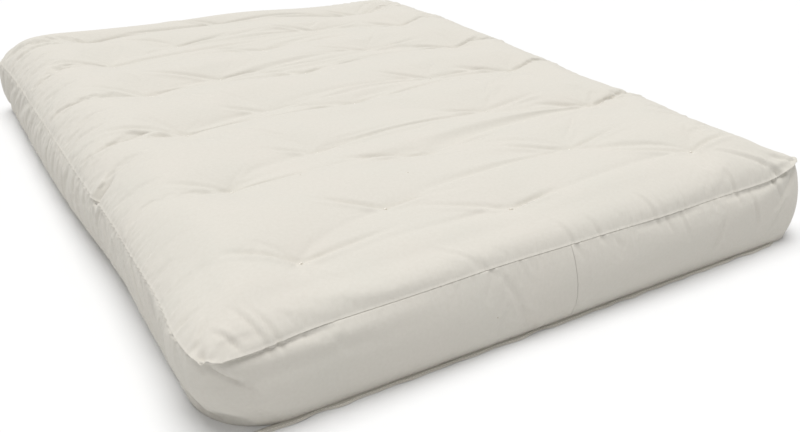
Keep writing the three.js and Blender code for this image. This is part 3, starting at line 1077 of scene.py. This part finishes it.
# ---- the filling ----
LAYERS = (
    ("batting_bottom_outer", 0.13, True),
    ("batting_bottom_inner", 0.27, True),
    ("foam_core_lower", 0.43, False),
    ("batting_middle", 0.57, True),
    ("foam_core_upper", 0.73, False),
    ("batting_top_inner", 0.87, True),
    ("batting_top_outer", 1.0, True),
)
FILLING_STEP = 2  # every second point of the casing's grids
FILLING_INSET = 0.012
FILLING_GAP = 0.0004  # half the gap between two layers
CLOTH_GAP = 0.007
EDGE_SHARPNESS = 14
WALL_ROWS = 3
WALL_PUFF = 0.002
WALL_UNEVENNESS = 0.6  # of the puff
WALL_WAVE = 0.05
HOLE_RADIUS = 0.0042
FLUFF = 0.0012  # unevenness of a layer's faces
FLUFF_WAVE = 0.07


def reach_at(loop, angle):
    """How far from the middle a closed loop of points lies, in plan, at an angle."""
    around = np.arctan2(loop[:, 1], loop[:, 0])
    return np.interp(angle, around, np.hypot(loop[:, 0], loop[:, 1]), period=2 * math.pi)


def filling_surface(floor, top, border, share, gap):
    """The filling's surface at a share of its thickness, raised by a gap."""
    low, high = floor[::FILLING_STEP, ::FILLING_STEP], top[::FILLING_STEP, ::FILLING_STEP]
    low = low + (0, 0, CLOTH_GAP)
    high = high - (0, 0, CLOTH_GAP)
    points = low + (high - low) * share
    side = curve_through(border, np.array([(1 - share) * BORDER_ROWS]))[0]
    side = side - outward(side) * FILLING_INSET
    angle = np.arctan2(points[..., 1], points[..., 0])
    own = reach_at(round_edge(points), angle)
    part = np.hypot(points[..., 0], points[..., 1]) / own
    stretch = 1 + (reach_at(side, angle) / own - 1) * part**EDGE_SHARPNESS
    points[..., :2] *= stretch[..., None]
    fluff = FLUFF * ripple(points[..., :2], FLUFF_WAVE, round(share * 100)) * (0 < share < 1)
    points[..., 2] += gap + fluff
    return points


def tuft_rings(surface):
    """For each tuft, the grid numbers of the 8 points round the nearest one, and that one."""
    rows = surface.shape[1]
    found = []
    for x, y in TUFTS.values():
        away = np.hypot(surface[..., 0] - x, surface[..., 1] - y)
        i, j = np.unravel_index(np.argmin(away), away.shape)
        around = ((1, 0), (1, 1), (0, 1), (-1, 1), (-1, 0), (-1, -1), (0, -1), (1, -1))
        found.append((i * rows + j, [(i + a) * rows + j + b for a, b in around]))
    return found


def filling_layer(name, lower, upper, puff):
    """A closed layer between two surfaces, with a hole for the twine of each tuft."""
    count = lower.shape[0] * lower.shape[1]
    ids = np.arange(count).reshape(lower.shape[:2])
    rings = tuft_rings(upper)
    centres = [middle for middle, _ in rings]
    flat = quads(ids)
    flat = flat[~np.isin(flat, centres).any(1)]
    low_edge, high_edge = round_edge(lower), round_edge(upper)
    walls = [round_edge(ids) + count]
    wall_points = []
    out = outward(low_edge)
    for row in range(1, WALL_ROWS + 1):
        share = row / (WALL_ROWS + 1)
        uneven = 1 + WALL_UNEVENNESS * ripple(low_edge, WALL_WAVE, row)
        swell = puff * math.sin(math.pi * share) * uneven
        wall_points.append(high_edge + (low_edge - high_edge) * share + out * swell[:, None])
        walls.append(2 * count + (row - 1) * len(out) + np.arange(len(out)))
    walls.append(round_edge(ids))
    walls = np.array(walls)
    faces = [flat + count, flat[:, ::-1], quads(np.concatenate([walls, walls[:, :1]], 1))]
    points = np.concatenate([lower.reshape(-1, 3), upper.reshape(-1, 3), *wall_points])
    for (x, y), (middle, ring) in zip(TUFTS.values(), rings):
        ring = np.array(ring)
        for shift in (0, count):
            turn = np.arange(8) * math.pi / 4
            points[ring + shift, 0] = x + HOLE_RADIUS * np.cos(turn)
            points[ring + shift, 1] = y + HOLE_RADIUS * np.sin(turn)
            points[ring + shift, 2] = points[middle + shift, 2]
        sleeve = np.array([ring, ring + count])
        faces.append(quads(np.concatenate([sleeve, sleeve[:, :1]], 1)))
    return add_mesh("layer_" + name, points, np.concatenate(faces))


# ---- build ----
start_top = starting_top()
start_border = starting_border(start_top)
top, border = simulate_casing(start_top, start_border)
top = settled(top)
border[0] = round_edge(top)

fine_top = top_detail(refined(top))
fine_border = refined(border, wrap=True)
fine_border[0] = round_edge(fine_top)
fine_border = border_detail(fine_border)
fine_border[0] = round_edge(fine_top)
floor = underside(top)

half_way = fine_border.shape[1] // 2
join = round(JOIN_PLACE / (2 * TOP_HALF_WIDTH) * (fine_top.shape[0] - 1))
pieces = [finish_piece(top_panel(fine_top), COTTON, halves("casing_top"))]
for name, first, replaced in (
    ("border_strip_right", join, "casing_border_back"),
    ("border_strip_left", join + half_way, "casing_border_seat"),
):
    strip = border_strip(name, fine_border, first, first + half_way)
    pieces.append(finish_piece(strip, COTTON, [replaced]))
under = bottom_panel(floor)
pieces.append(finish_piece(under, COTTON, halves("casing_bottom")))
pieces.append(finish_piece(flange_mesh(), COTTON, halves("closing_seam")))
finish_piece(stitches(), TWINE, [])

below = 0.0
for name, share, soft in LAYERS:
    lower = filling_surface(floor, top, border, below, FILLING_GAP)
    upper = filling_surface(floor, top, border, share, -FILLING_GAP)
    layer = filling_layer(name, lower, upper, WALL_PUFF if soft else 0.0)
    material, slot = (BATTING, "cotton_batting") if soft else (FOAM, "foam")
    finish_piece(layer, material, halves(name))
    below = share

for seed, (name, (x, y)) in enumerate(TUFTS.items()):
    away = np.hypot(fine_top[..., 0] - x, fine_top[..., 1] - y).ravel()
    surface = fine_top.reshape(-1, 3)[np.argsort(away)[:TIED_POINTS], 2].mean()
    finish_piece(tuft_mesh(name, x, y, surface, seed), TWINE, [name])
